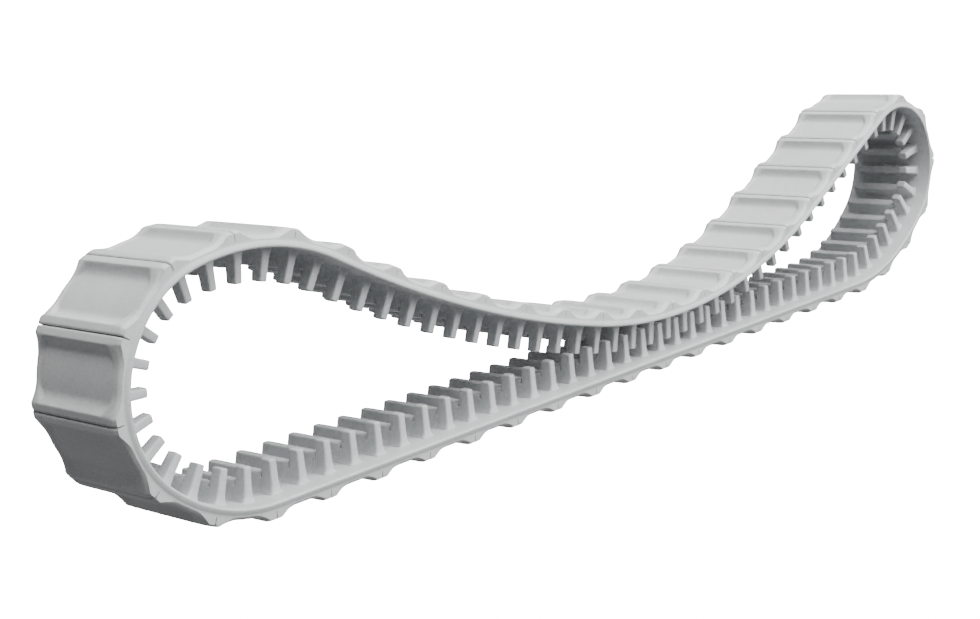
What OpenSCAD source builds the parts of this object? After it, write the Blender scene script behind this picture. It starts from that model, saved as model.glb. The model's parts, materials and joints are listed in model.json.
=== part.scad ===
// Endless moulded rubber track, lying loose on a floor.
// The belt follows one closed path of straights and tangent arcs. Every sub-part is a layer that
// follows that path, or a row of lugs, bars or teeth set on it at their own pitch.

/* [Belt] */
// Overall width of the belt
belt_w = 40; // [34:1:48]
// Tread pitch from slit to slit, along the cords
pitch = 22; // [18.4:0.2:26.4]
// Thickness of the carcass band
band_t = 2.6; // [2.2:0.1:3.1]
// Gap left between neighbouring stretches, where the belt flexes
flex_gap = 0.4; // [0.3:0.05:0.6]

/* [Tread] */
// Thickness of the pad floor over the carcass
pad_t = 0.6; // [0.5:0.1:0.8]
// Height of the lug crest over the carcass
lug_h = 3.4; // [2.8:0.1:4.1]
// Width of the flat lug crest, both halves together
crest_w = 4.8; // [4:0.1:5.6]
// Width of a lug where it meets the pad floor
foot_w = 11.6; // [10:0.1:13]
// Length of the sloping end of a lug, at each side edge
lug_end = 6; // [5:0.1:7]
// Height of the side rails over the pad floor
rail_h = 1.1; // [0.8:0.1:1.3]
// Width of the broad rail, at the near side edge
near_rail_w = 5.2; // [4.4:0.1:6.2]
// Width of the narrow rail
far_rail_w = 2.6; // [2.2:0.1:3.2]
// Slit between the two halves of a lug, at its root
slit_root = 0.6; // [0.5:0.05:0.7]
// Slit between the two halves of a lug, at its crest
slit_mouth = 1; // [0.9:0.05:1.2]

/* [Inner side] */
// Height of a guide tooth over the inner face
tooth_h = 10.4; // [8.7:0.1:10.8]
// Length of a guide tooth across the belt
tooth_l = 4.2; // [3.4:0.1:5]
// Bare strip between a guide tooth and the near side edge
strip_w = 6.5; // [5.4:0.1:7.8]
// Thickness of a tooth at its tip, along the belt
tip_t = 2.8; // [2.3:0.1:3]
// Thickness of a tooth at its root, along the belt
root_t = 5; // [4.2:0.1:5.4]
// Height of a drive bar over the inner face
bar_h = 6; // [5:0.1:7.2]
// Distance from the far end of a drive bar to the side edge
bar_end = 3.3; // [2.7:0.1:4]
// Width of the notch between a guide tooth and its drive bar
notch_w = 1.2; // [1:0.1:1.5]

/* [Cords] */
// Number of tensile cords across the belt
cord_n = 7; // [5:1:9]
// Thickness of a tensile cord
cord_d = 1; // [0.8:0.05:1.2]

/* [Lying shape] */
// Distance from the first slit to where the belt settles on the floor
settle = 1; // [0.8:0.1:1.2]
// Radius of the long lift at the right
lift_r = 93; // [88:1:98]
// Angle of the long lift
lift_a = 41.5; // [41:0.5:42]
// Radius of the right bight
right_r = 29.5; // [28.5:0.5:31]
// Angle of the right bight
right_a = 119; // [118:0.5:120]
// Radius of the turn over the right crest
over_r = 35; // [34:0.5:37]
// Angle of the turn over the right crest
over_a = 46; // [45.5:0.5:46.5]
// Radius of the saddle floor
saddle_r = 225; // [218:1:232]
// Angle of the saddle floor
saddle_a = 39; // [38.5:0.5:39.5]
// Radius of the rise towards the left crest
rise_r = 500; // [480:5:520]
// Angle of the rise
rise_a = 15.5; // [15:0.5:16]
// Radius of the left crest
crest_r = 76.5; // [74:0.5:79]
// Angle of the left crest
crest_a = 40.5; // [40:0.5:41]
// Radius of the left bight
left_r = 35.5; // [34.5:0.5:37]
// Angle of the left bight
left_a = 126; // [125.5:0.5:126.5]
// Radius of the turn down to the floor
land_r = 56; // [54:0.5:58]

/* [Hidden] */
PITCHES = 47;
// Stretches of the belt lie between these slits, counted along the path from the left end of
// the floor run. Each stretch is rigid, and the belt flexes at the slits between them.
SLITS = [0, 15, 18, 20, 22, 24, 27, 30, 33, 36, 39, 41, 43, 45, 47];
STRETCHES = len(SLITS) - 1;
LAYERS = ["carcass", "cords", "tread", "teeth"];

half_t = band_t / 2;
pad_u = half_t + pad_t;
// Lugs and rails grow out of the pad floor, from two depths in it.
lug_root_u = half_t + pad_t * 0.3;
rail_root_u = half_t + pad_t * 0.6;
// The thin toe of a lug stands a little proud of the pad floor.
toe_u = pad_u + 0.2;
// The sloping ends of the lugs stop above the toes.
end_u = pad_u + 0.7;
crest_u = half_t + lug_h;
reach = 1.5;
chord_error = 0.03;
land_a = 360 - lift_a - right_a - over_a + saddle_a + rise_a - crest_a - left_a;

// A bend is [signed radius, angle]. A positive radius turns towards the inside of the loop.
BENDS_RIGHT = [[lift_r, lift_a], [right_r, right_a], [over_r, over_a]];
BENDS_LEFT = [[-saddle_r, saddle_a], [-rise_r, rise_a], [crest_r, crest_a], [left_r, left_a],
    [land_r, land_a]];
drift_right = drift(BENDS_RIGHT, 0);
slope_a = turn(BENDS_RIGHT);
drift_left = drift(BENDS_LEFT, slope_a);
// The slope and the floor run take the lengths that close the loop.
slope_raw = -(drift_right[1] + drift_left[1]) / sin(slope_a);
floor_raw = -(drift_right[0] + drift_left[0]) - slope_raw * cos(slope_a);
raw_length = floor_raw + slope_raw + arc_length(BENDS_RIGHT) + arc_length(BENDS_LEFT);
// One factor brings the loop to a whole number of pitches.
fit_k = PITCHES * pitch / raw_length;

// Pieces of the path, as [length, signed radius], where a radius of 0 is a straight.
PATH = [
    [floor_raw * fit_k, 0],
    for (b = BENDS_RIGHT) bend_piece(b),
    [slope_raw * fit_k, 0],
    for (b = BENDS_LEFT) bend_piece(b)
];
// State at the start of each piece, as [distance, x, z, heading].
STATES = [
    for (i = 0, st = [settle, 0, crest_u, 0]; i <= len(PATH);
        st = i < len(PATH) ? step(st, PATH[i], PATH[i][0]) : st, i = i + 1) st
];

// Stations along the bends, close enough that a chord strays from its arc by chord_error at most.
STATIONS = [
    for (i = [0:len(PATH) - 1])
        let (piece = PATH[i], n = piece[1] == 0 ? 1 : ceil(swing(piece) / chord_angle(piece[1])))
        for (j = [0:n - 1]) if (i > 0) STATES[i][0] + piece[0] * j / n
];

// The lug crests are the outermost points, so they set the middle of the model.
CREST_X = [for (k = [0:PITCHES - 1], side = [-1, 1]) crest_point(k * pitch, side * crest_w / 2)];
middle = (max(CREST_X) + min(CREST_X)) / 2;

function node_name(layer, i) = str(layer, i < 10 ? "_0" : "_", i);
function turn(bends) = sum([for (b = bends) sign(b[0]) * b[1]]);
function sum(v, i = 0) = i < len(v) ? v[i] + sum(v, i + 1) : 0;
function arc_length(bends) = sum([for (b = bends) abs(b[0]) * b[1] * PI / 180]);
function swing(piece) = piece[0] / abs(piece[1]) * 180 / PI;
function chord_angle(r) = 2 * acos(1 - chord_error / abs(r));
function bend_piece(b) = [abs(b[0]) * b[1] * PI / 180 * fit_k, b[0] * fit_k];
// How far a row of bends moves the path, from heading a.
function drift(bends, a, i = 0) =
    i == len(bends) ? [0, 0]
    : let (b = bends[i], a2 = a + sign(b[0]) * b[1])
        b[0] * [sin(a2) - sin(a), cos(a) - cos(a2)] + drift(bends, a2, i + 1);
function step(st, piece, run) =
    let (a = st[3])
    piece[1] == 0
        ? [st[0] + run, st[1] + run * cos(a), st[2] + run * sin(a), a]
        : let (r = piece[1], a2 = a + run / r * 180 / PI)
            [st[0] + run, st[1] + r * (sin(a2) - sin(a)), st[2] + r * (cos(a) - cos(a2)), a2];
function piece_at(s, i = 0) = i < len(PATH) - 1 && s >= STATES[i + 1][0] ? piece_at(s, i + 1) : i;
// Place on the path at distance s, as [distance, x, z, heading].
function place(s) = let (i = piece_at(s)) step(STATES[i], PATH[i], s - STATES[i][0]);
function crest_point(s, along) =
    let (p = place(s)) p[1] + along * cos(p[3]) + crest_u * sin(p[3]);
function stretch_start(i) = SLITS[i] * pitch + flex_gap / 2;
function stretch_end(i) = SLITS[i + 1] * pitch - flex_gap / 2;

// Sets its children on the path with X along the belt, Y across it and Z outwards.
module outward_at(s) {
    p = place(s);
    translate([p[1] - middle, 0, p[2]]) rotate([0, -p[3], 0]) mirror([0, 0, 1]) children();
}

// Sets its children on the path with X along the belt, Y across it and Z inwards.
module inward_at(s) {
    p = place(s);
    translate([p[1] - middle, 0, p[2]]) rotate([0, -p[3], 0]) children();
}

// Stations of a ribbon from a to b: its two ends, and the shared stations between them.
function stations(a, b) = concat([a], [for (s = STATIONS) if (s > a + 0.05 && s < b - 0.05) s], [b]);
// Point at distance s along the path and u outwards of the cords, in the side view.
function side_point(s, u) =
    let (p = place(s)) [p[1] - middle + u * sin(p[3]), p[2] - u * cos(p[3])];

// A layer of the belt from a to b along the path, u0 to u1 outwards of the cords and y0 to y1
// across. Its side view is cut out of the bends as short chords and runs straight across.
module ribbon(a, b, u0, u1, y0, y1) {
    run = stations(a, b);
    back = [for (i = [len(run) - 1:-1:0]) run[i]];
    translate([0, y1, 0]) rotate([90, 0, 0]) linear_extrude(y1 - y0)
        polygon(concat([for (s = run) side_point(s, u0)], [for (s = back) side_point(s, u1)]));
}

// A ribbon over the full width of the belt.
module full_ribbon(a, b, u0, u1) {
    ribbon(a, b, u0, u1, -belt_w / 2, belt_w / 2);
}

// One half of a lug, on one side of the slit at distance s. Its foot follows the pad floor.
module half_lug(s, side) {
    foot = stations(min(s + side * slit_root / 2, s + side * foot_w / 2),
        max(s + side * slit_root / 2, s + side * foot_w / 2));
    flank = [
        [slit_mouth / 2, crest_u], [crest_w / 2, crest_u],
        [crest_w / 2 + 0.5, crest_u - 0.5], [foot_w * 0.29, pad_u + 1.55],
        [foot_w * 0.38, pad_u + 0.4], [foot_w / 2, toe_u]
    ];
    base = [for (i = [0:len(foot) - 1]) foot[side > 0 ? len(foot) - 1 - i : i]];
    difference() {
        translate([0, belt_w / 2, 0]) rotate([90, 0, 0]) linear_extrude(belt_w)
            polygon(concat([for (p = flank) side_point(s + side * p[0], p[1])],
                [for (st = base) side_point(st, lug_root_u)]));
        for (end = [0, 1]) outward_at(s) mirror([0, end, 0]) lug_end_cut();
    }
}

// What is cut away over the sloping end of a lug.
module lug_end_cut() {
    y = belt_w / 2 - lug_end;
    fall = (crest_u - end_u) / lug_end;
    rotate([90, 0, 90]) linear_extrude(2 * foot_w, center = true)
        polygon([[y - 1, crest_u + fall], [y + lug_end + 1, end_u - fall],
            [y + lug_end + 1, crest_u + 3], [y - 1, crest_u + 3]]);
}

// Guide tooth or drive bar, as a profile along the belt with a hollow flare at its root.
module tooth_profile(h) {
    r = root_t / 2;
    t = tip_t / 2;
    polygon([
        [-r, -reach], [r, -reach], [r, 0.2], [r * 0.8, 1.1], [t + 0.3, 2.8], [t, h - 0.4],
        [t - 0.4, h], [0.4 - t, h], [-t, h - 0.4], [-t - 0.3, 2.8], [-r * 0.8, 1.1], [-r, 0.2]
    ]);
}

// Guide tooth and drive bar seen along the belt, joined by a low web under the notch.
module tooth_face() {
    near = strip_w - belt_w / 2;
    back = near + tooth_l;
    bar = back + notch_w;
    far = belt_w / 2 - bar_end;
    polygon([
        [near, -reach], [near, 0], [near + 0.5, tooth_h], [back - 0.3, tooth_h],
        [back, bar_h - 1.5], [bar - 0.3, bar_h - 1.5], [bar, bar_h], [far - 1.2, bar_h], [far, 0],
        [far, -reach]
    ]);
}

module tooth() {
    translate([0, 0, half_t]) intersection() {
        rotate([90, 0, 0]) linear_extrude(belt_w, center = true) tooth_profile(tooth_h);
        rotate([90, 0, 90]) linear_extrude(2 * root_t, center = true) tooth_face();
    }
}

// Tensile cords, laid side by side along the neutral line of the band.
module cord_rows(i, overrun = 0) {
    for (k = [0:cord_n - 1]) {
        y = (k - (cord_n - 1) / 2) * belt_w / cord_n;
        ribbon(stretch_start(i) - overrun, stretch_end(i) + overrun, -cord_d / 2, cord_d / 2,
            y - cord_d / 2, y + cord_d / 2);
    }
}

module cords(i) {
    color([0.35, 0.36, 0.38]) cord_rows(i);
}

// Carcass: the band, with a channel for each cord.
module carcass(i) {
    color([0.80, 0.82, 0.83])
        difference() {
            full_ribbon(stretch_start(i), stretch_end(i), -half_t, half_t);
            cord_rows(i, overrun = 0.2);
        }
}

// Tread: the pad floor, the side rails of each pad and the half lugs at its two ends.
module tread(i) {
    color([0.84, 0.86, 0.87]) {
        full_ribbon(stretch_start(i), stretch_end(i), half_t, pad_u);
        for (k = [SLITS[i]:SLITS[i + 1] - 1]) {
            from = k * pitch + crest_w / 2;
            to = (k + 1) * pitch - crest_w / 2;
            ribbon(from, to, rail_root_u, pad_u + rail_h, -belt_w / 2, near_rail_w - belt_w / 2);
            ribbon(from, to, rail_root_u, pad_u + rail_h, belt_w / 2 - far_rail_w, belt_w / 2);
            half_lug(k * pitch, 1);
            half_lug((k + 1) * pitch, -1);
        }
    }
}

// Guide teeth with their drive bars, two to each pad.
module teeth(i) {
    color([0.78, 0.81, 0.83])
        difference() {
            for (k = [SLITS[i]:SLITS[i + 1] - 1], part = [0.25, 0.75])
                inward_at((k + part) * pitch) tooth();
            full_ribbon(stretch_start(i), stretch_end(i), -half_t, half_t + reach);
        }
}

for (i = [0:STRETCHES - 1]) {
    carcass(i);
    cords(i);
    tread(i);
    teeth(i);
}
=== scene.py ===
"""Looks of an endless moulded rubber track belt that lies loose on a floor.

Every surface follows one closed path, the line of the belt's cords in side view. A point of the belt
is a distance along that path, a place across the belt and a height outwards of the cords. Lengths are
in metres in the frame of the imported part.
"""

import json
import logging
from dataclasses import dataclass, field
from enum import Enum

import bpy
import numpy as np
from mathutils import Matrix, Vector

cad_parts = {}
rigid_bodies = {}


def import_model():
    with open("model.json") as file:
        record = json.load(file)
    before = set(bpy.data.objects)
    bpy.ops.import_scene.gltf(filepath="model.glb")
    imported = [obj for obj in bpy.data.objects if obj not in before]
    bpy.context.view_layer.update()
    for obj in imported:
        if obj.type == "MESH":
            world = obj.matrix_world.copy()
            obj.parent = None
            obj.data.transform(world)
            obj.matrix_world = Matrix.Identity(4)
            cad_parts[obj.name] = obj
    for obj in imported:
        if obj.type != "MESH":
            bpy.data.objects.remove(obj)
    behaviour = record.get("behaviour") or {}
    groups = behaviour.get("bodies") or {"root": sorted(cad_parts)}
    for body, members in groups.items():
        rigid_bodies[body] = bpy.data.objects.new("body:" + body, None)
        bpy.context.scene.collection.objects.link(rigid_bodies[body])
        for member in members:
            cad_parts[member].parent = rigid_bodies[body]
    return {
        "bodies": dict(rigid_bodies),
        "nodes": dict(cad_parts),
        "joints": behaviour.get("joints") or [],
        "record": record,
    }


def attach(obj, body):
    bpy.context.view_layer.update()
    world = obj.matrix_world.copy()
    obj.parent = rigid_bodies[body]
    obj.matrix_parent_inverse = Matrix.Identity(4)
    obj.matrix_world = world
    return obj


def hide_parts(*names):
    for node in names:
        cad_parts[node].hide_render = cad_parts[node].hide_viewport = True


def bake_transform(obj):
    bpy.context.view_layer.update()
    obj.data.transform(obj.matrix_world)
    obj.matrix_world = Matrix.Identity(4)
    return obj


MM = 0.001
log = logging.getLogger("track")


@dataclass(frozen=True)
class BeltSize:
    """Driving sizes of the belt, in millimetres, as the CAD part states them.

    The rail, lug side and side lean values refine the plain steps of the CAD part: how high and how
    wide the rails are, how far a lug's gentle flank reaches over them, how high a lug's side stands
    at the side edge, and how far the side edge leans in.
    """

    pitch: float = 22.0
    pitches: int = 47
    width: float = 40.0
    band_t: float = 2.6
    pad_t: float = 0.6
    lug_h: float = 3.4
    crest_w: float = 4.8
    foot_w: float = 11.6
    rail_low: float = 0.5
    rail_near: float = 3.4
    rail_far: float = 2.3
    rail_reach: float = 8.2
    lug_side: float = 2.3
    side_lean: float = 0.7
    tooth_h: float = 10.4
    tooth_l: float = 4.2
    strip_w: float = 6.5
    tip_t: float = 2.8
    root_t: float = 5.0
    bar_h: float = 6.0
    bar_end: float = 3.3
    notch_w: float = 1.2
    settle: float = 1.0

    @property
    def half_t(self) -> float:
        """Half of the band's thickness."""
        return self.band_t / 2

    @property
    def pad_u(self) -> float:
        """Height of the pad floor over the cords."""
        return self.half_t + self.pad_t

    @property
    def crest_u(self) -> float:
        """Height of the lug crest over the cords."""
        return self.half_t + self.lug_h


class BeltPath:
    """The closed side view of the cords: a floor run, a slope and tangent bends."""

    RIGHT = ((93.0, 41.5), (29.5, 119.0), (35.0, 46.0))
    LEFT = ((-225.0, 39.0), (-500.0, 15.5), (76.5, 40.5), (35.5, 126.0))
    LAND_RADIUS = 56.0

    def __init__(self, size: BeltSize) -> None:
        """Closes the loop and brings it to a whole number of pitches.

        Args:
            size: Driving sizes of the belt.
        """
        right = [(r, np.radians(a)) for r, a in self.RIGHT]
        left = [(r, np.radians(a)) for r, a in self.LEFT]
        turned = sum(np.sign(r) * a for r, a in right + left)
        left.append((self.LAND_RADIUS, 2 * np.pi - turned))
        out, slope_a = self._drift(right, 0.0)
        back, _ = self._drift(left, slope_a)
        gap = -(out + back)
        slope = gap[1] / np.sin(slope_a)
        floor = gap[0] - slope * np.cos(slope_a)
        bends = sum(abs(r) * a for r, a in right + left)
        scale = size.pitches * size.pitch / (floor + slope + bends)
        pieces = [(floor, 0.0)] + [(abs(r) * a, 1 / r) for r, a in right]
        pieces += [(slope, 0.0)] + [(abs(r) * a, 1 / r) for r, a in left]
        run, curve = np.array(pieces).T
        self.run, self.curve = run * scale, curve / scale
        self.start = size.settle + np.concatenate([[0], np.cumsum(self.run)])
        self.turn = np.concatenate([[0], np.cumsum(self.run * self.curve)])
        self.x, self.z = np.zeros(len(self.start)), np.full(len(self.start), size.crest_u)
        for i in range(len(self.run)):
            dx, dz = self._along(self.run[i], self.curve[i], self.turn[i])
            self.x[i + 1], self.z[i + 1] = self.x[i] + dx, self.z[i] + dz
        self.middle = 0.0
        slits = np.arange(size.pitches) * size.pitch
        x, _, heading = self.at(slits)
        reach = [x + side * size.crest_w / 2 * np.cos(heading) + size.crest_u * np.sin(heading)
                 for side in (-1, 1)]
        self.middle = float(np.max(reach) + np.min(reach)) / 2

    @staticmethod
    def _drift(bends: list[tuple[float, float]], heading: float) -> tuple[np.ndarray, float]:
        """How far a row of bends moves the path, and the heading after them."""
        moved = np.zeros(2)
        for radius, angle in bends:
            after = heading + np.sign(radius) * angle
            turn = [np.sin(after) - np.sin(heading), np.cos(heading) - np.cos(after)]
            moved += radius * np.array(turn)
            heading = after
        return moved, heading

    @staticmethod
    def _along(run: np.ndarray, curve: np.ndarray, heading: np.ndarray) -> tuple:
        """Shift after a run on an arc: the chord, half the turn away from the first heading."""
        half = run * curve / 2
        chord = run * np.sinc(half / np.pi)
        return chord * np.cos(heading + half), chord * np.sin(heading + half)

    def at(self, s: np.ndarray) -> tuple[np.ndarray, np.ndarray, np.ndarray]:
        """Place on the path.

        Args:
            s: Distances along the path, in millimetres.

        Returns:
            X, Z and heading, one of each per distance.
        """
        s = np.asarray(s, float)
        i = np.clip(np.searchsorted(self.start, s, side="right") - 1, 0, len(self.run) - 1)
        run = s - self.start[i]
        dx, dz = self._along(run, self.curve[i], self.turn[i])
        return self.x[i] + dx - self.middle, self.z[i] + dz, self.turn[i] + run * self.curve[i]

    def points(self, s: np.ndarray, y: np.ndarray, u: np.ndarray) -> np.ndarray:
        """Belt coordinates turned into the part's frame.

        The outward direction is the heading turned a quarter turn clockwise, so a point is the place
        on the path plus u times (sine of the heading, minus its cosine).

        Args:
            s: Distances along the path, in millimetres.
            y: Places across the belt, in millimetres.
            u: Heights outwards of the cords, in millimetres.

        Returns:
            One point per entry of the broadcast inputs, in metres.
        """
        s, y, u = np.broadcast_arrays(s, y, u)
        x, z, heading = self.at(s)
        return np.stack([x + u * np.sin(heading), y, z - u * np.cos(heading)], -1) * MM


class Slot(Enum):
    """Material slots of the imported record."""

    CARCASS = "carcass_rubber"
    TREAD = "tread_rubber"
    TEETH = "tooth_rubber"
    CORD = "cord"


@dataclass(frozen=True)
class RubberFinish:
    """Satin moulded rubber with dust, handling marks and fine grain."""

    name: str
    pale: tuple[float, float, float]
    dark: tuple[float, float, float]
    roughness: float = 0.46
    grain: float = 0.05
    wear: float = 0.35

    def build(self) -> bpy.types.Material:
        """Makes the shader.

        Returns:
            A material whose colour drifts in broad clouds and small specks, with bump and roughness
            that follow a fine grain.
        """
        material = bpy.data.materials.new(self.name)
        material.use_nodes = True
        nodes, links = material.node_tree.nodes, material.node_tree.links
        shader = nodes["Principled BSDF"]
        shader.inputs["IOR"].default_value = 1.5
        shader.inputs["Sheen Weight"].default_value = 0.12
        shader.inputs["Sheen Roughness"].default_value = 0.5
        place = nodes.new("ShaderNodeTexCoord").outputs["Object"]
        clouds = self._noise(nodes, links, place, 38.0, 4.0, 0.55)
        specks = self._noise(nodes, links, place, 1500.0, 2.0, 0.6)
        grain = self._noise(nodes, links, place, 3800.0, 3.0, 0.65)
        ramp = nodes.new("ShaderNodeValToRGB")
        ramp.color_ramp.elements[0].position = 0.30
        ramp.color_ramp.elements[0].color = (*self.dark, 1)
        ramp.color_ramp.elements[1].position = 0.68
        ramp.color_ramp.elements[1].color = (*self.pale, 1)
        links.new(clouds, ramp.inputs["Fac"])
        dust = nodes.new("ShaderNodeMix")
        dust.data_type = "RGBA"
        dust.blend_type = "SOFT_LIGHT"
        dust.inputs["Factor"].default_value = self.wear
        links.new(ramp.outputs["Color"], dust.inputs[6])
        links.new(specks, dust.inputs[7])
        links.new(dust.outputs[2], shader.inputs["Base Color"])
        satin = nodes.new("ShaderNodeMapRange")
        satin.inputs["To Min"].default_value = self.roughness - 0.09
        satin.inputs["To Max"].default_value = self.roughness + 0.12
        links.new(specks, satin.inputs["Value"])
        links.new(satin.outputs["Result"], shader.inputs["Roughness"])
        bump = nodes.new("ShaderNodeBump")
        bump.inputs["Strength"].default_value = self.grain
        bump.inputs["Distance"].default_value = 0.0002
        links.new(grain, bump.inputs["Height"])
        links.new(bump.outputs["Normal"], shader.inputs["Normal"])
        return material

    @staticmethod
    def _noise(nodes, links, place, scale: float, detail: float, rough: float):
        """A noise texture on object coordinates, and its strength as a socket."""
        noise = nodes.new("ShaderNodeTexNoise")
        noise.inputs["Scale"].default_value = scale
        noise.inputs["Detail"].default_value = detail
        noise.inputs["Roughness"].default_value = rough
        links.new(place, noise.inputs["Vector"])
        return noise.outputs["Fac"]


FINISHES = {
    Slot.TREAD: RubberFinish("tread_rubber", (0.545, 0.552, 0.556), (0.478, 0.485, 0.490)),
    Slot.CARCASS: RubberFinish("carcass_rubber", (0.525, 0.540, 0.545), (0.460, 0.475, 0.480)),
    Slot.TEETH: RubberFinish("tooth_rubber", (0.510, 0.528, 0.535), (0.450, 0.464, 0.470), 0.5),
    Slot.CORD: RubberFinish("cord", (0.09, 0.09, 0.10), (0.06, 0.06, 0.07), roughness=0.8),
}


def smooth_max(a: np.ndarray, b: np.ndarray, blend: float) -> np.ndarray:
    """The larger of two heights, with the crossing rounded over about the blend length."""
    return (a + b + np.sqrt((a - b) ** 2 + blend**2)) / 2


def smooth_min(a: np.ndarray, b: np.ndarray, blend: float) -> np.ndarray:
    """The smaller of two heights, with the crossing rounded over about the blend length."""
    return -smooth_max(-a, -b, blend)


def smooth_step(x: np.ndarray) -> np.ndarray:
    """Rises from 0 to 1 with no slope at either end."""
    x = np.clip(x, 0, 1)
    return x * x * (3 - 2 * x)


def make_mesh(name: str, points: np.ndarray, quads: np.ndarray,
              caps: list[np.ndarray]) -> bpy.types.Object:
    """Makes a closed, smooth object in the part's frame.

    Args:
        name: Name of the object.
        points: One row per vertex, in metres.
        quads: One row of four vertex numbers per face.
        caps: Loops of vertex numbers that close the ends.

    Returns:
        The new object, at the origin, with sharp edges kept by angle.
    """
    mesh = bpy.data.meshes.new(name)
    mesh.from_pydata(points.reshape(-1, 3).tolist(), [], quads.tolist() + [c.tolist() for c in caps])
    mesh.validate()
    mesh.polygons.foreach_set("use_smooth", np.ones(len(mesh.polygons), bool))
    mesh.set_sharp_from_angle(angle=np.radians(50))
    mesh.update()
    thing = bpy.data.objects.new(name, mesh)
    bpy.context.scene.collection.objects.link(thing)
    return thing


def loft(rings: int, around: int, base: int = 0) -> tuple[np.ndarray, list[np.ndarray]]:
    """Faces of a stack of closed rings, and the two loops that cap it.

    Args:
        rings: Number of rings.
        around: Number of points in each ring.
        base: Number of the first vertex.

    Returns:
        The side faces, and the first and the last ring as caps.
    """
    grid = base + np.arange(rings * around).reshape(rings, around)
    ahead = np.roll(grid, -1, axis=1)
    quads = np.stack([grid[:-1], ahead[:-1], ahead[1:], grid[1:]], -1).reshape(-1, 4)
    return quads, [grid[0][::-1], grid[-1]]


@dataclass
class Tread:
    """Outer layer of the belt: pad floors, side rails and split cross lugs."""

    size: BeltSize
    path: BeltPath
    # Distances from a slit to the lines of the surface, close together at the slit and the crest.
    lines: tuple[float, ...] = (
        0.0, 0.10, 0.125, 0.15, 0.175, 0.21, 0.3, 0.4, 0.55, 0.8, 1.2, 1.7, 2.1, 2.35, 2.55, 2.8,
        3.05,
        3.3, 3.6, 3.9, 4.3, 4.7, 5.2, 5.7, 6.2, 6.8, 7.6, 8.5, 9.6, 11.0,
    )

    # Distances from a rail's inner wall to the surface lines that follow the tray's rounded corners.
    WALL = np.linspace(-0.7, 3.9, 21)
    # How far a tray's corners turn in, and how fast that dies away from the crest.
    CORNER, CORNER_FADE = 2.6, 2.6
    # Width of the step at a rail's inner wall, and its share of the corner's turn.
    STEP, STEP_CORNER = 0.9, 0.4
    # Powers of the flanks: the steep one over the tray and the gentle one over the rails.
    STEEP, GENTLE = 2.7, 1.8
    # Rise per millimetre inwards from a side edge, and how much less it is on a lug.
    EDGE_RISE, LUG_EASE = 1.05, 0.55
    # Half width of the slit and the width of its wall.
    SLIT, SLIT_WALL = 0.10, 0.10

    def stations(self, first: float, last: float) -> np.ndarray:
        """Surface lines from one place to another, both counted in pitches."""
        near = np.array(self.lines)
        pad = np.concatenate([near, (self.size.pitch - near)[::-1][1:-1]])
        every = (np.arange(self.size.pitches + 1)[:, None] * self.size.pitch + pad).ravel()
        a, b = first * self.size.pitch, last * self.size.pitch
        return np.concatenate([[a], every[(every > a + 0.02) & (every < b - 0.02)], [b]])

    def across(self) -> np.ndarray:
        """Places across the belt, close together on the side slopes and at the rails' inner walls."""
        half = self.size.width / 2 - self.size.side_lean
        edge = half - np.array([0.0, 0.12, 0.25, 0.4, 0.6, 0.85, 1.15, 1.5, 1.9, 2.3])
        walls = [self.size.rail_near - half + self.WALL, half - self.size.rail_far - self.WALL]
        plain = np.linspace(walls[0][-1], walls[1][-1], 36)
        return np.unique(np.round(np.concatenate([-edge, edge, *walls, plain]), 5))

    def height(self, s: np.ndarray, y: np.ndarray) -> np.ndarray:
        """Height of the tread over the cords.

        A lug is flat at its crest and falls along a power curve of the distance left to its foot: a
        steep one over the tray and a gentle one over the rails. A smooth step at each rail's inner
        wall leads from one to the other, and the wall turns in at the tray's corners. The side edges
        cap the height with a slope of their own, and a steep smooth step cuts the slit.

        Args:
            s: Distances along the path, in millimetres.
            y: Places across the belt, in millimetres.

        Returns:
            Heights in millimetres.
        """
        z = self.size
        half = z.width / 2 - z.side_lean
        inside = half - np.abs(y)
        along = np.mod(s, z.pitch)
        d = np.minimum(along, z.pitch - along)
        beyond = np.clip(d - z.crest_w / 2, 0, None)
        corner = self.CORNER * np.exp(-(beyond / self.CORNER_FADE) ** 2)
        step = self.STEP + self.STEP_CORNER * corner
        near_wall = smooth_step((z.rail_near - half + self.STEP / 2 + corner - y) / step)
        far_wall = smooth_step((y - half + z.rail_far + self.STEP / 2 + corner) / step)
        wall = np.maximum(near_wall, far_wall)
        steep = (z.foot_w / 2 + 0.3 - d) / ((z.foot_w - z.crest_w) / 2 + 0.15)
        gentle = (z.rail_reach - d) / (z.rail_reach - z.crest_w / 2 - 0.1)
        steep = np.clip(steep, 0, 1.15) ** self.STEEP
        gentle = np.clip(gentle, 0, 1.08) ** self.GENTLE
        ground = z.pad_u + z.rail_low * wall
        top = ground + (z.crest_u - ground) * (steep + (gentle - steep) * wall)
        top = smooth_min(top, np.full_like(top, z.crest_u + 0.03), 0.22)
        rise = self.EDGE_RISE - self.LUG_EASE * np.minimum(gentle, 1)
        side = z.half_t + 0.05 + z.lug_side * gentle + inside * rise
        top = smooth_min(top, side, 0.3)
        top = np.minimum(top, z.crest_u)
        lip = 0.2 * (1 - smooth_step((d - 0.20) / 0.35))
        groove = 1 - smooth_step((d - self.SLIT) / self.SLIT_WALL)
        top = top - lip * smooth_step((top - z.pad_u) / 0.8)
        return top - groove * np.clip(top - z.half_t - 0.35, 0, None)

    def build(self, name: str, first: float, last: float) -> bpy.types.Object:
        """Makes one piece of the tread from one place to another, both counted in pitches."""
        s, y = self.stations(first, last)[:, None], self.across()[None, :]
        top = self.path.points(s, y, self.height(s, y))
        under = self.path.points(s, y[:, [-1, 0]], np.full((1, 2), self.size.half_t - 0.02))
        rings = np.concatenate([top, under], axis=1)
        quads, caps = loft(rings.shape[0], rings.shape[1])
        return make_mesh(name, rings, quads, caps)


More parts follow.
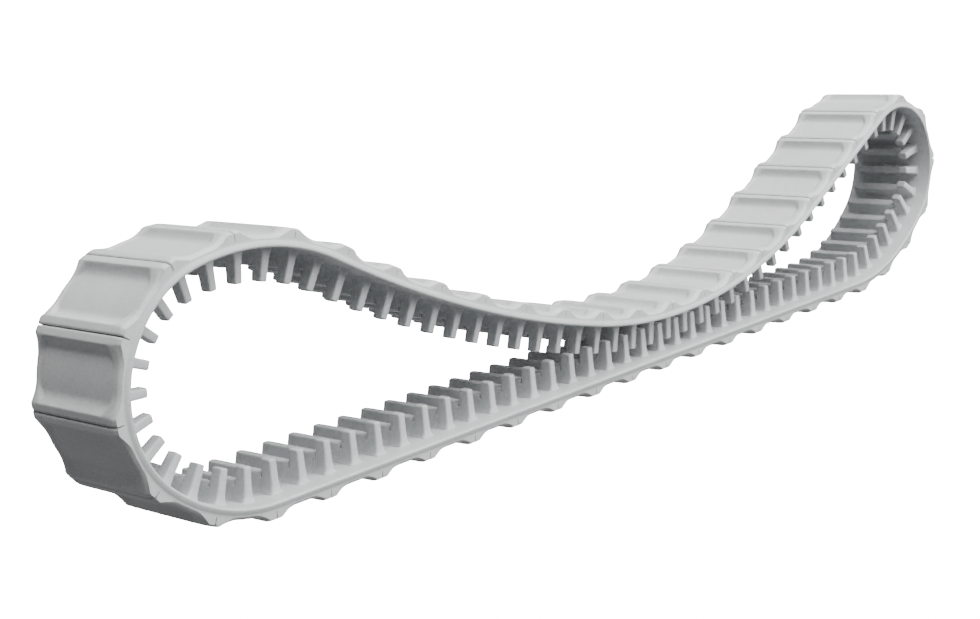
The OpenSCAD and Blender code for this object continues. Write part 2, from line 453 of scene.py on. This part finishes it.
@dataclass
class Band:
    """Carcass of the belt: a plain band with rounded inner edges and a fine mould line."""

    size: BeltSize
    path: BeltPath
    corner: float = 0.7

    def section(self) -> np.ndarray:
        """Cross-section as rows of (place across, height), ordered as the tread's rings are."""
        half, t, r = self.size.width / 2, self.size.half_t, self.corner
        lean = self.size.side_lean
        quarter = np.linspace(0, np.pi / 2, 7)
        right = np.stack([half - r + r * np.cos(quarter), -t + r - r * np.sin(quarter)], -1)
        left = right[::-1] * [-1, 1]
        bead = np.array([[half - lean, t], [half - lean * 0.9, t - 0.3],
                         [half - lean * 0.92, t - 0.42], [half - lean * 0.8, t - 0.56],
                         [half - lean * 0.4, t - 1.2]])
        inner = np.linspace(half - 2, 2 - half, 9)[:, None] * [1, 0] + [0, -t]
        return np.concatenate([bead, right, inner, left, bead[::-1] * [-1, 1]])

    def build(self, name: str, first: float, last: float) -> bpy.types.Object:
        """Makes one piece of the band from one place to another, both counted in pitches."""
        steps = int(np.ceil((last - first) * self.size.pitch / 1.1)) + 1
        s = np.linspace(first, last, steps)[:, None] * self.size.pitch
        y, u = self.section().T
        rings = self.path.points(s, y[None, :], u[None, :])
        quads, caps = loft(rings.shape[0], rings.shape[1])
        return make_mesh(name, rings, quads, caps)


@dataclass
class Teeth:
    """Guide teeth and drive bars of the inner side, two of each to a pitch.

    Lengths are in millimetres. The rounding is of the top edges, the squareness is the power of the
    superellipses, and the fade is how fast the flare at a root dies away.
    """

    size: BeltSize
    path: BeltPath
    around: int = 28
    rounding: float = 0.45
    squareness: float = 5.5
    fade: float = 1.05
    parts: list[tuple[np.ndarray, int]] = field(default_factory=list)

    def __post_init__(self) -> None:
        """Works out the shape that all teeth share."""
        z = self.size
        near = z.strip_w - z.width / 2
        back = near + z.tooth_l
        bar = back + z.notch_w
        far = z.width / 2 - z.bar_end
        self.parts = [
            self._stump(z.tooth_h, near - 0.15, back + 0.5, 0.45, 0.3, -0.2),
            self._stump(z.bar_h, bar - 0.35, far, 0.0, 1.1, -0.35),
            self._stump(z.bar_h - 1.5, back - 1.0, bar + 1.2, 0.0, 0.0, 0.1),
        ]

    def _stump(self, h: float, y0: float, y1: float, lean0: float, lean1: float, thin: float):
        """A rounded block with a hollow flare at its root.

        Each ring is a superellipse of the block's half sizes at its height. The flare dies away
        exponentially with height, and the top edge is rounded as a quarter circle.

        Args:
            h: Height over the inner face.
            y0: Near end across the belt, at the root.
            y1: Far end across the belt, at the root.
            lean0: How far the near end leans in at the top.
            lean1: How far the far end leans in at the top.
            thin: How much thinner the block is than the tip's thickness.

        Returns:
            Rings of (along, across, height) points.
        """
        quarter = np.linspace(0, np.pi / 2, 6)
        r = self.rounding
        body = np.array([-0.7, 0.0, 0.25, 0.55, 0.95, 1.5, 2.2, 3.1, 4.2]) * min(1, h / 6)
        level = np.concatenate([body, np.linspace(5.0, h - r, 4) if h > 6.5 else [h - r - 0.3],
                                h - r + r * np.sin(quarter), [h]])
        inset = np.concatenate([np.zeros(len(level) - 7), r * (1 - np.cos(quarter)), [r + 0.25]])
        spread = (self.size.root_t - self.size.tip_t) / 2
        flare = spread * np.exp(-np.clip(level, 0, None) / self.fade)
        slim = 0.18 * np.clip(level / self.size.tooth_h, 0, 1)
        half_x = self.size.tip_t / 2 + 0.12 - thin / 2 + flare - slim - inset
        lo = y0 + lean0 * level / h - 0.45 * flare + inset
        hi = y1 - lean1 * level / h + 0.45 * flare - inset
        angle = np.linspace(0, 2 * np.pi, self.around, endpoint=False) + np.pi / self.around
        cx, cy = np.cos(angle), np.sin(angle)
        power = 2 / self.squareness
        ux, uy = np.sign(cx) * np.abs(cx) ** power, np.sign(cy) * np.abs(cy) ** power
        x = half_x[:, None] * ux
        y = (lo + hi)[:, None] / 2 + (hi - lo)[:, None] / 2 * uy
        return np.stack([x, y, np.broadcast_to(level[:, None], x.shape)], -1)

    def build(self, name: str, first: int, last: int) -> bpy.types.Object:
        """Makes the teeth between two slits as one object.

        Args:
            name: Name of the object.
            first: Slit at the start of the stretch.
            last: Slit at its end.

        Returns:
            The object, with each tooth, bar and web as a closed shell.
        """
        places = (np.arange(first, last)[:, None] + [0.25, 0.75]).ravel() * self.size.pitch
        x, z, heading = self.path.at(places)
        points, quads, caps, base = [], [], [], 0
        for rings in self.parts:
            along, y, level = np.moveaxis(rings, -1, 0)
            height = self.size.half_t + level
            cos, sin = np.cos(heading)[:, None, None], np.sin(heading)[:, None, None]
            px = x[:, None, None] + along * cos - height * sin
            pz = z[:, None, None] + along * sin + height * cos
            block = np.stack([px, np.broadcast_to(y, px.shape), pz], -1) * MM
            sides, ends = loft(rings.shape[0], rings.shape[1])
            for copy in block:
                points.append(copy.reshape(-1, 3))
                quads.append(sides + base)
                caps += [e + base for e in ends]
                base += copy.shape[0] * copy.shape[1]
        return make_mesh(name, np.concatenate(points), np.concatenate(quads), caps)


class Belt:
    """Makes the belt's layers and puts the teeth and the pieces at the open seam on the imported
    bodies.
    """

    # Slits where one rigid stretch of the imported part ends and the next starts.
    SLITS = (0, 15, 18, 20, 22, 24, 27, 30, 33, 36, 39, 41, 43, 45, 47)
    SEAM = 33
    # Half of the gap at the open seam, in pitches.
    SEAM_GAP = 0.003
    BEND_REACH = 3.2

    def __init__(self, frame: dict) -> None:
        """Keeps the frame and makes the materials.
        """
        self.frame = frame
        self.size = BeltSize()
        self.path = BeltPath(self.size)
        self.materials = {slot: finish.build() for slot, finish in FINISHES.items()}
        self.pieces: list[bpy.types.Object] = []

    def _dress(self, thing: bpy.types.Object, slot: Slot, nodes: list[str]) -> None:
        """Gives a piece its material and slot, and hides the CAD nodes it stands for."""
        thing.data.materials.append(self.materials[slot])
        if nodes:
            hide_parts(*nodes)
        self.pieces.append(thing)

    def _middle_of(self, stretch: int) -> float:
        """Middle of a stretch, halfway between two lugs, in pitches."""
        a, b = self.SLITS[stretch], self.SLITS[stretch + 1]
        return (a + b) // 2 + 0.5

    def build_skins(self) -> None:
        """Makes the band and the tread, one piece of each around every joint, plus the open seam."""
        layers = ((Tread(self.size, self.path), Slot.TREAD, "tread"),
                  (Band(self.size, self.path), Slot.CARCASS, "carcass"))
        count = len(self.SLITS) - 1
        for layer, slot, word in layers:
            for joint in range(count):
                before = (joint - 1) % count
                slit = self.SLITS[joint]
                start = self._middle_of(before) - (self.size.pitches if joint == 0 else 0)
                end = self._middle_of(joint)
                nodes = [f"{word}_{joint:02d}"]
                if slit == self.SEAM:
                    ahead = layer.build(f"{word}_end", start, slit - self.SEAM_GAP)
                    behind = layer.build(f"{word}_start", slit + self.SEAM_GAP, end)
                    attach(ahead, f"stretch_{before:02d}")
                    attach(behind, f"stretch_{joint:02d}")
                    self._dress(ahead, slot, [])
                    self._dress(behind, slot, nodes)
                elif joint == 0:
                    self._wrap(layer, slot, word, start, end, nodes)
                else:
                    thing = layer.build(f"{word}_skin_{joint:02d}", start, end)
                    self._bend(thing, slit)
                    self._dress(thing, slot, nodes)

    def _wrap(self, layer: "Tread | Band", slot: Slot, word: str, start: float, end: float,
              nodes: list[str]) -> None:
        """Makes the piece around the first slit, whose two sides lie at the two ends of the path."""
        pitches = self.size.pitches
        tail = layer.build(f"{word}_skin_tail", start + pitches, float(pitches))
        head = layer.build(f"{word}_skin_head", 0.0, end)
        for thing in (tail, head):
            self._bend(thing, 0)
            self._dress(thing, slot, nodes if thing is head else [])

    def _bend(self, thing: bpy.types.Object, slit: int) -> None:
        """Bakes a piece's transform into its mesh at a slit; the piece does not turn between the two
        stretches that meet there.
        """
        s = np.array([slit * self.size.pitch])
        x, z, heading = (float(v[0]) for v in self.path.at(s))
        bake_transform(thing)

    def build_teeth(self) -> None:
        """Makes the teeth of every stretch, which ride on that stretch."""
        teeth = Teeth(self.size, self.path)
        for i in range(len(self.SLITS) - 1):
            thing = teeth.build(f"teeth_row_{i:02d}", self.SLITS[i], self.SLITS[i + 1])
            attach(thing, f"stretch_{i:02d}")
            self._dress(thing, Slot.TEETH, [f"teeth_{i:02d}"])

    def paint_cords(self) -> None:
        """Gives the CAD cords, which lie inside the band, their material."""
        for i in range(len(self.SLITS) - 1):
            node = self.frame["nodes"][f"cords_{i:02d}"]
            node.data.materials.clear()
            node.data.materials.append(self.materials[Slot.CORD])


@dataclass(frozen=True)
class Studio:
    """Pale floor, soft lights and the camera."""

    eye: tuple[float, float, float] = (-0.4900, -0.3744, 0.1555)
    yaw: float = np.radians(48.7)
    pitch: float = np.radians(11.8)
    roll: float = np.radians(-3.7)
    lens: float = 61.34
    sensor: float = 36.0
    sky: float = 0.24
    top_power: float = 46.0
    side_power: float = 24.0
    paper: float = 30.0

    def build_camera(self) -> None:
        """Sets the camera, with yaw from +Y towards +X, pitch downwards and then roll."""
        forward = Vector((np.sin(self.yaw) * np.cos(self.pitch), np.cos(self.yaw) * np.cos(self.pitch),
                          -np.sin(self.pitch)))
        right = Vector((np.cos(self.yaw), -np.sin(self.yaw), 0))
        up = right.cross(forward)
        rolled = np.cos(self.roll) * right + np.sin(self.roll) * up
        top = np.cos(self.roll) * up - np.sin(self.roll) * right
        turn = Matrix((rolled, top, -forward)).transposed().to_4x4()
        data = bpy.data.cameras.new("camera")
        data.lens, data.sensor_width, data.sensor_fit = self.lens, self.sensor, "HORIZONTAL"
        data.clip_start, data.clip_end = 0.01, 50
        camera = bpy.data.objects.new("camera", data)
        camera.matrix_world = Matrix.Translation(self.eye) @ turn
        bpy.context.scene.collection.objects.link(camera)
        bpy.context.scene.camera = camera

    def build_floor(self) -> None:
        """Makes a large pale floor that isn't part of the object."""
        bpy.ops.mesh.primitive_plane_add(size=6, location=(0, 0, 0))
        floor = bpy.context.object
        floor.name = "floor"
        material = bpy.data.materials.new("floor")
        material.use_nodes = True
        shader = material.node_tree.nodes["Principled BSDF"]
        shader.inputs["Base Color"].default_value = (0.93, 0.93, 0.93, 1)
        shader.inputs["Roughness"].default_value = 0.9
        shader.inputs["Specular IOR Level"].default_value = 0.1
        shader.inputs["Emission Color"].default_value = (1, 1, 1, 1)
        shader.inputs["Emission Strength"].default_value = self.paper * 0.75
        floor.data.materials.append(material)
        floor.visible_diffuse = floor.visible_glossy = False

    def build_backdrop(self) -> None:
        """Makes a far white wall around the floor, which only the camera sees."""
        bpy.ops.mesh.primitive_cylinder_add(vertices=64, radius=11, depth=12, location=(0, 0, 0))
        wall = bpy.context.object
        wall.name = "backdrop"
        material = bpy.data.materials.new("backdrop")
        material.use_nodes = True
        shader = material.node_tree.nodes["Principled BSDF"]
        shader.inputs["Base Color"].default_value = (0, 0, 0, 1)
        shader.inputs["Emission Color"].default_value = (1, 1, 1, 1)
        shader.inputs["Emission Strength"].default_value = self.paper
        wall.data.materials.append(material)
        wall.visible_diffuse = wall.visible_glossy = wall.visible_shadow = False

    def build_lights(self) -> None:
        """Sets a pale sky, a broad light overhead and a softer one at the front right."""
        world = bpy.data.worlds.new("studio")
        world.use_nodes = True
        sky = world.node_tree.nodes["Background"]
        sky.inputs["Color"].default_value = (0.96, 0.98, 1.0, 1)
        sky.inputs["Strength"].default_value = self.sky
        bpy.context.scene.world = world
        self._panel("top_light", (0.0, -0.3, 1.2), (0.0, 0.0, 0.0), 1.4, self.top_power)
        self._panel("front_right_light", (0.55, -1.15, 0.55), (0.0, 0.0, 0.03), 0.8, self.side_power)

    @staticmethod
    def _panel(name: str, place: tuple, aim: tuple, width: float, power: float) -> None:
        """A square light panel that faces a point."""
        data = bpy.data.lights.new(name, "AREA")
        data.size, data.energy = width, power
        lamp = bpy.data.objects.new(name, data)
        lamp.location = place
        lamp.rotation_euler = (Vector(aim) - Vector(place)).to_track_quat("-Z", "Y").to_euler()
        bpy.context.scene.collection.objects.link(lamp)


def bounds(objects: list[bpy.types.Object]) -> list[list[float]]:
    """Lowest and highest corner of some objects whose places are in their meshes."""
    low, high = np.full(3, np.inf), np.full(3, -np.inf)
    for thing in objects:
        co = np.empty(len(thing.data.vertices) * 3, np.float32)
        thing.data.vertices.foreach_get("co", co)
        low = np.minimum(low, co.reshape(-1, 3).min(0))
        high = np.maximum(high, co.reshape(-1, 3).max(0))
    return [low.tolist(), high.tolist()]


def main() -> None:
    """Builds the belt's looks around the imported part."""
    logging.basicConfig(level=logging.INFO)
    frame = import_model()
    sizes = {"cad": bounds(list(frame["nodes"].values()))}
    belt = Belt(frame)
    log.info("skins")
    belt.build_skins()
    log.info("teeth")
    belt.build_teeth()
    belt.paint_cords()
    studio = Studio()
    studio.build_floor()
    studio.build_backdrop()
    studio.build_lights()
    studio.build_camera()
    sizes["visual"] = bounds(belt.pieces)


if __name__ == "__main__":
    main()
